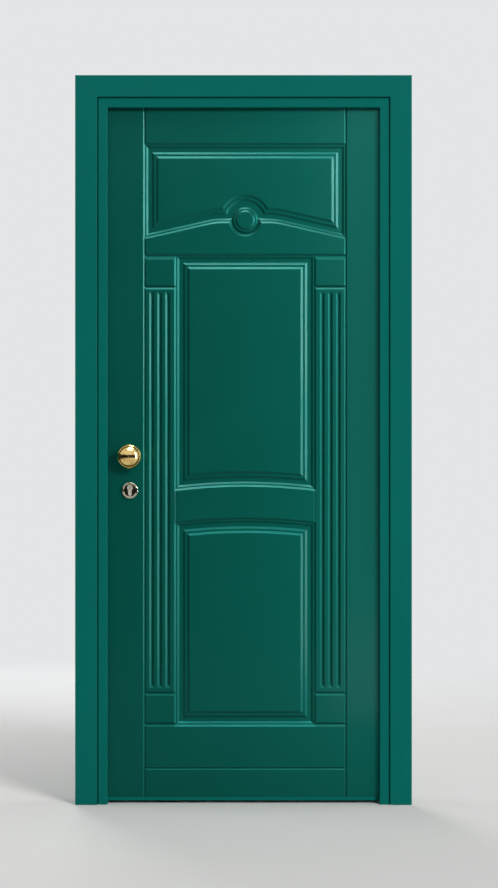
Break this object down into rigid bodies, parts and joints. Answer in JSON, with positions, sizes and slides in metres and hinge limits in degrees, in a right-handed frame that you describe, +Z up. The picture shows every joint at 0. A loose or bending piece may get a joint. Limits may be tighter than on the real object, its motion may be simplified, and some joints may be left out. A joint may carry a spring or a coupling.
{
  "type": "panelled front door",
  "caption": "Armoured panelled entrance door in a pressed steel frame with flat casings: the leaf swings inward, a lever draws the latch and a cylinder throws bolts and rods.",
  "frame": {"origin": "centre of the footprint at floor level", "axes": "+Z up, +X to the right as seen from outside, +Y inward through the doorway"},
  "size_m": [1.014, 0.194, 2.197],
  "materials": {
    "frame_lacquer": "satin lacquer",
    "casing_lacquer": "satin lacquer",
    "panel_lacquer": "satin lacquer over routed board",
    "inner_lacquer": "satin lacquer",
    "edge_lacquer": "satin powder coat",
    "shell_steel": "galvanised sheet",
    "lock_steel": "nickel plated",
    "hinge_steel": "satin",
    "screw_steel": "zinc plated",
    "knob_brass": "polished",
    "handle_brass": "polished",
    "washer_brass": "plain",
    "seal_rubber": "matt",
    "mineral_wool": "loose fibre"
  },
  "bodies": {
    "frame": {"lock_jamb": "frame_lacquer", "hinge_jamb": "frame_lacquer", "head_jamb": "frame_lacquer", "lock_side_casing": "casing_lacquer", "hinge_side_casing": "casing_lacquer", "head_casing": "casing_lacquer", "frame_seal": "seal_rubber", "strike_plate": "lock_steel", "lower_strike_plate": "lock_steel", "strike_screws": "screw_steel", "lower_hinge_frame_half": "hinge_steel", "upper_hinge_frame_half": "hinge_steel", "hinge_frame_screws": "screw_steel", "lower_hinge_pin": "lock_steel", "upper_hinge_pin": "lock_steel", "lower_hinge_washer": "washer_brass", "upper_hinge_washer": "washer_brass"},
    "leaf": {"leaf_shell": "shell_steel", "stiffener_ribs": "shell_steel", "insulation_slabs": "mineral_wool", "outer_panel": "panel_lacquer", "inner_panel": "inner_lacquer", "lock_edge_trim": "edge_lacquer", "hinge_edge_trim": "edge_lacquer", "top_edge_trim": "edge_lacquer", "bottom_edge_trim": "edge_lacquer", "bottom_sweep": "seal_rubber", "drill_plate": "shell_steel", "lock_case": "shell_steel", "lock_cover": "shell_steel", "lock_faceplate": "lock_steel", "faceplate_screws": "screw_steel", "lower_deviator_case": "shell_steel", "cylinder_body": "lock_steel", "cylinder_guard": "knob_brass", "inner_cylinder_rose": "handle_brass", "knob_rose": "knob_brass", "door_knob": "knob_brass", "knob_stud": "lock_steel", "handle_rose": "handle_brass", "lower_hinge_leaf_half": "hinge_steel", "upper_hinge_leaf_half": "hinge_steel", "hinge_leaf_screws": "screw_steel", "dog_bolts": "lock_steel"},
    "lever": {"lever_handle": "handle_brass", "handle_spindle": "lock_steel", "lever_follower": "lock_steel"},
    "latch": {"latch_bolt": "lock_steel"},
    "key_core": {"cylinder_plug": "handle_brass", "lock_cam": "lock_steel", "thumb_turn": "handle_brass"},
    "bolt_carriage": {"deadbolts": "lock_steel"},
    "upper_rod_body": {"upper_rod": "lock_steel"},
    "lower_rod_body": {"lower_rod": "lock_steel"},
    "side_bolt_body": {"lower_side_bolt": "lock_steel"}
  },
  "joints": [
    {"name": "door_swing", "type": "hinge", "parent": "frame", "child": "leaf", "pos_m": [0.424, 0.051, 0], "axis": [0, 0, -1], "range_deg": [0, 100]},
    {"name": "lever_turn", "type": "hinge", "parent": "leaf", "child": "lever", "pos_m": [-0.3434, 0, 1.049], "axis": [0, 1, 0], "range_deg": [0, 35], "stiffness_Nm_per_rad": 2, "springref_deg": -17.19},
    {"name": "latch_slide", "type": "slide", "parent": "leaf", "child": "latch", "axis": [1, 0, 0], "range_m": [0, 0.014]},
    {"name": "key_turn", "type": "hinge", "parent": "leaf", "child": "key_core", "pos_m": [-0.3434, 0, 0.954], "axis": [0, 1, 0], "range_deg": [0, 360]},
    {"name": "deadbolt_slide", "type": "slide", "parent": "leaf", "child": "bolt_carriage", "axis": [-1, 0, 0], "range_m": [0, 0.028]},
    {"name": "upper_rod_slide", "type": "slide", "parent": "leaf", "child": "upper_rod_body", "axis": [0, 0, 1], "range_m": [0, 0.025]},
    {"name": "lower_rod_slide", "type": "slide", "parent": "leaf", "child": "lower_rod_body", "axis": [0, 0, -1], "range_m": [0, 0.025]},
    {"name": "side_bolt_slide", "type": "slide", "parent": "leaf", "child": "side_bolt_body", "axis": [-1, 0, 0], "range_m": [0, 0.028]}
  ],
  "couplings": [
    {"joint": "latch_slide", "follows": "lever_turn", "m_per_rad": 0.022918},
    {"joint": "key_turn", "follows": "deadbolt_slide", "rad_per_m": 224.4},
    {"joint": "upper_rod_slide", "follows": "deadbolt_slide", "ratio": 0.89286},
    {"joint": "lower_rod_slide", "follows": "deadbolt_slide", "ratio": 0.89286},
    {"joint": "side_bolt_slide", "follows": "deadbolt_slide", "ratio": 1}
  ]
}
